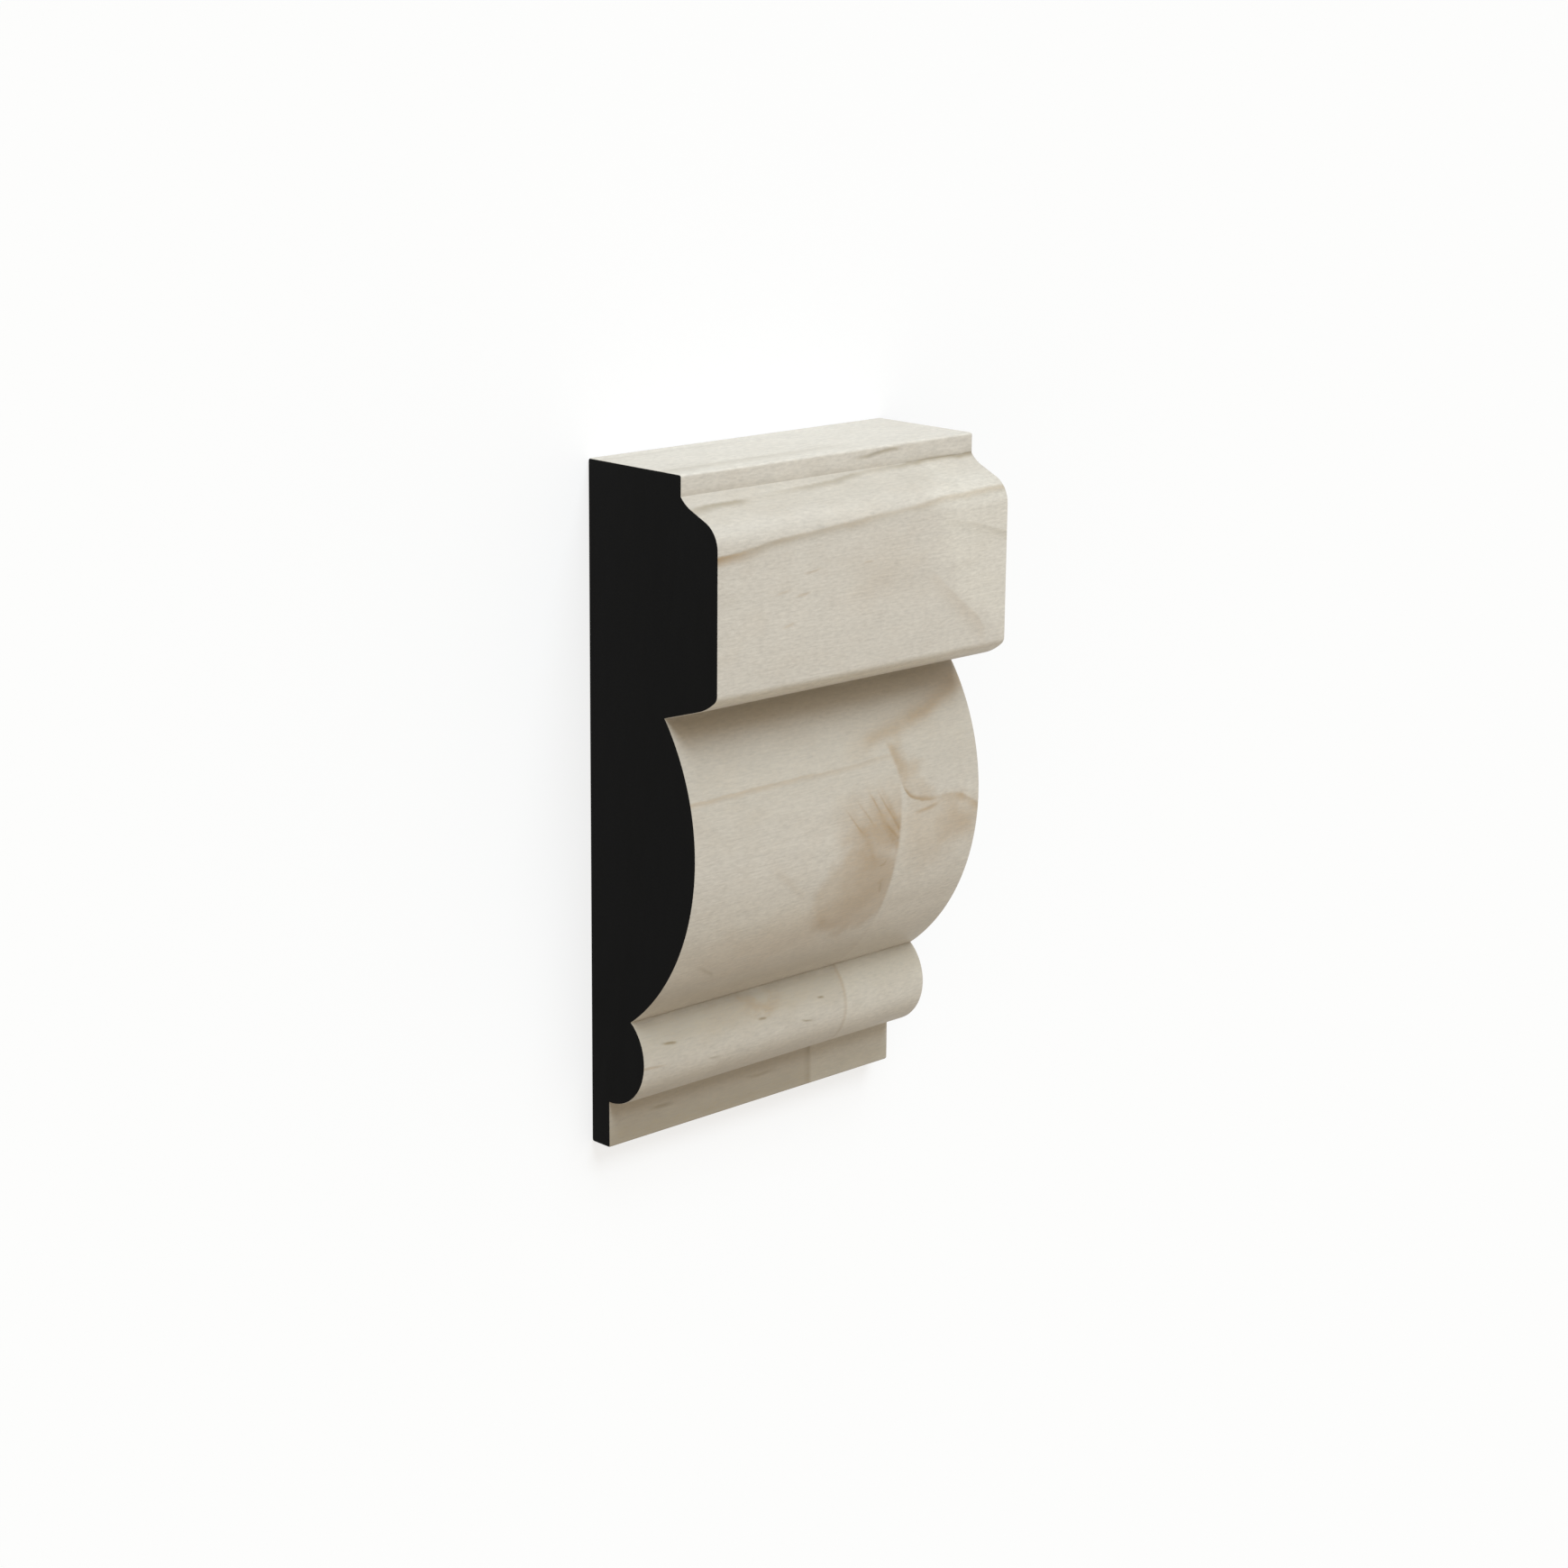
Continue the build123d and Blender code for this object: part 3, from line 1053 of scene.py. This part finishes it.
    def build(self, planed: bpy.types.Material, sealed: bpy.types.Material) -> bpy.types.Object:
        """Runs the section along the rail and eases its ends.

        Args:
            planed: Finish of the machined faces.
            sealed: Finish of the two sawn ends.

        Returns:
            The rail's object.
        """
        mesh = bmesh.new()
        pen = ProfilePen(mesh, -self.length / 2, self.height)
        torus_centre = Vector((self.torus_depth - self.torus_radius, self.torus_height))
        self._draw_block(pen, torus_centre)
        self._draw_lower(pen, torus_centre)
        bmesh.ops.remove_doubles(mesh, verts=mesh.verts, dist=self.merge_gap)
        bmesh.ops.contextual_create(mesh, geom=mesh.edges)

        run = bmesh.ops.extrude_face_region(mesh, geom=mesh.faces[:], use_keep_orig=True)
        far_end = [part for part in run["geom"] if isinstance(part, bmesh.types.BMVert)]
        bmesh.ops.translate(mesh, verts=far_end, vec=(self.length, 0.0, 0.0))
        bmesh.ops.recalc_face_normals(mesh, faces=mesh.faces)
        ends = [face for face in mesh.faces if abs(face.normal.x) > self.end_tilt]
        rims = {edge for face in ends for edge in face.edges}
        bmesh.ops.bevel(
            mesh, geom=list(rims), affect="EDGES", offset=self.end_ease, offset_type="OFFSET", segments=2,
            profile=0.5, material=-1)

        for face in mesh.faces:
            is_end = abs(face.normal.x) > self.sealed_tilt
            face.material_index = (Surface.CUT_END if is_end else Surface.PLANED).value
            face.smooth = not is_end
        data = bpy.data.meshes.new("moulded_rail")
        mesh.to_mesh(data)
        mesh.free()
        data.materials.append(planed)
        data.materials.append(sealed)
        data.set_sharp_from_angle(angle=math.radians(self.sharp_deg))
        rail = bpy.data.objects.new("moulded_rail", data)
        bpy.context.scene.collection.objects.link(rail)
        log.info("moulded_rail: %d faces, from %d points of section", len(data.polygons), len(far_end))
        return rail


@dataclass
class Studio:
    """The plain pale floor, the soft light and the camera.

    Attributes:
        floor_half: Half the floor's side, in metres.
        floor_drop: Gap between the back and the floor, so that the two never share a plane.
        floor_white: The floor's colour as the camera sees it.
        floor_bounce: The greyer colour with which the floor lights the rail.
        floor_glow: Share of plain white in the floor as the camera sees it.
        sky_fill: Strength of the even light from all round.
        sky_colour: Colour of the even light.
        backdrop: Colour of the glow and of the sky as the camera sees it.
        sun_strength: Strength of the soft lamp.
        sun_colour: Colour of the lamp.
        sun_rise_deg: The lamp's height above the floor, on the side of the rail's top edge.
        sun_turn_deg: How far the lamp is turned from there towards the rail's far end.
        sun_spread_deg: How wide the lamp looks from the rail, which softens its shadows.
        lens_mm: Focal length of the lens.
        sensor_mm: Width of the sensor.
        nearest: Distance from the camera where it starts to see.
        view_turn_deg: How far the camera is turned from straight in front, to the near end.
        view_rise_deg: How far the camera is above straight in front, towards the top edge.
        view_roll_deg: The camera's small roll.
        view_distance: Distance from the aim to the camera.
        aim: The point that the camera looks at.
    """

    floor_half: float = 2.0
    floor_drop: float = 0.05 * MM
    floor_white: str = "#ffffff"
    floor_bounce: str = "#dcdcdc"
    floor_glow: float = 0.72
    sky_fill: float = 0.5
    sky_colour: str = "#fff2dc"
    backdrop: str = "#ffffff"
    sun_strength: float = 2.88
    sun_colour: str = "#e6f3ff"
    sun_rise_deg: float = 37.0
    sun_turn_deg: float = 0.0
    sun_spread_deg: float = 36.0
    lens_mm: float = 77.48
    sensor_mm: float = 36.0
    nearest: float = 10 * MM
    view_turn_deg: float = 44.08
    view_rise_deg: float = 14.72
    view_roll_deg: float = 0.52
    view_distance: float = 370.35 * MM
    aim: tuple[float, float, float] = (-1.12 * MM, 0.77 * MM, 8.63 * MM)

    def _backdrop_rays(self, tree: Tree) -> Socket:
        """Tells the rays that see the backdrop directly, in a mirror or through glass.

        Args:
            tree: The node tree of the floor or the sky.

        Returns:
            1 for those rays and 0 for the others.
        """
        path = add_node(tree, "ShaderNodeLightPath")
        seen = path.outputs["Is Camera Ray"]
        for kind in ("Is Glossy Ray", "Is Transmission Ray"):
            seen = add_node(
                tree, "ShaderNodeMath", {0: seen, 1: path.outputs[kind]}, operation="MAXIMUM").outputs[0]
        return seen

    def build_floor(self) -> bpy.types.Object:
        """Makes the floor, which shows pale and keeps the rail's shadow.

        Returns:
            The floor's object.
        """
        mesh = bmesh.new()
        bmesh.ops.create_grid(mesh, x_segments=1, y_segments=1, size=self.floor_half)
        bmesh.ops.translate(mesh, verts=mesh.verts, vec=(0.0, 0.0, -self.floor_drop))
        data = bpy.data.meshes.new("floor")
        mesh.to_mesh(data)
        mesh.free()
        floor = bpy.data.objects.new("floor", data)
        bpy.context.scene.collection.objects.link(floor)

        material, tree = new_material("pale_floor")
        seen = self._backdrop_rays(tree)
        share = add_node(
            tree, "ShaderNodeMath", {0: seen, 1: self.floor_glow}, operation="MULTIPLY").outputs[0]
        paint = add_node(tree, "ShaderNodeMix", {
            "Factor": seen,
            MIX_A: linear_rgba(self.floor_bounce),
            MIX_B: linear_rgba(self.floor_white),
        }, data_type="RGBA").outputs[MIX_RESULT]
        matt = add_node(tree, "ShaderNodeBsdfDiffuse", {"Color": paint}).outputs[0]
        glow = add_node(
            tree, "ShaderNodeEmission", {"Color": linear_rgba(self.backdrop), "Strength": 1.0}).outputs[0]
        mixed = add_node(tree, "ShaderNodeMixShader", {0: share, 1: matt, 2: glow}).outputs[0]
        add_node(tree, "ShaderNodeOutputMaterial", {"Surface": mixed})
        data.materials.append(material)
        return floor

    def build_light(self) -> None:
        """Makes the even light and the soft lamp."""
        world = bpy.data.worlds.new("studio_sky")
        world.use_nodes = True
        tree = world.node_tree
        tree.nodes.clear()
        seen = self._backdrop_rays(tree)
        fill = add_node(
            tree, "ShaderNodeBackground", {"Color": linear_rgba(self.sky_colour), "Strength": self.sky_fill})
        white = add_node(
            tree, "ShaderNodeBackground", {"Color": linear_rgba(self.backdrop), "Strength": 1.0})
        mixed = add_node(tree, "ShaderNodeMixShader", {0: seen, 1: fill.outputs[0], 2: white.outputs[0]})
        add_node(tree, "ShaderNodeOutputWorld", {"Surface": mixed.outputs[0]})
        bpy.context.scene.world = world

        lamp = bpy.data.lights.new("soft_lamp", "SUN")
        lamp.energy = self.sun_strength
        lamp.color = linear_rgba(self.sun_colour)[:3]
        lamp.angle = math.radians(self.sun_spread_deg)
        rise = math.radians(self.sun_rise_deg)
        turn = math.radians(self.sun_turn_deg)
        towards = Vector((math.sin(turn) * math.cos(rise), math.cos(turn) * math.cos(rise), math.sin(rise)))
        holder = bpy.data.objects.new("soft_lamp", lamp)
        holder.rotation_euler = towards.to_track_quat("Z", "Y").to_euler()
        bpy.context.scene.collection.objects.link(holder)

    def build_camera(self) -> bpy.types.Object:
        """Makes the camera, looking down on the rail at the photograph's angle.

        Returns:
            The camera's object.
        """
        data = bpy.data.cameras.new("camera")
        data.lens = self.lens_mm
        data.sensor_width = self.sensor_mm
        data.clip_start = self.nearest
        turn = math.radians(self.view_turn_deg)
        rise = math.radians(self.view_rise_deg)
        back = Vector((-math.sin(turn) * math.cos(rise), math.sin(rise), math.cos(turn) * math.cos(rise)))
        right = Vector((0.0, 1.0, 0.0)).cross(back).normalized()
        up = back.cross(right)
        axes = Matrix((right, up, back)).transposed()
        roll = Matrix.Rotation(math.radians(self.view_roll_deg), 3, "Z")
        spot = Vector(self.aim) + back * self.view_distance
        camera = bpy.data.objects.new("camera", data)
        camera.matrix_world = Matrix.Translation(spot) @ (axes @ roll).to_4x4()
        bpy.context.scene.collection.objects.link(camera)
        bpy.context.scene.camera = camera
        return camera


def main() -> None:
    """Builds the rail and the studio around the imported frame."""
    logging.basicConfig(level=logging.INFO, format="%(name)s: %(message)s")
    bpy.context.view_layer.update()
    bpy.context.scene.view_settings.view_transform = "Standard"

    rail = DadoRail.from_box(*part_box(CAD_NODE))
    planed = PlanedTulipwood(rail.length, rail.height).build()
    sealed = BlackEndSealer().build()
    piece = rail.build(planed, sealed)
    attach(piece, BODY)
    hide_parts(CAD_NODE)

    studio = Studio()
    studio.build_floor()
    studio.build_light()
    studio.build_camera()
    log.info("studio: floor, soft lamp, even light and camera")


if __name__ == "__main__":
    main()
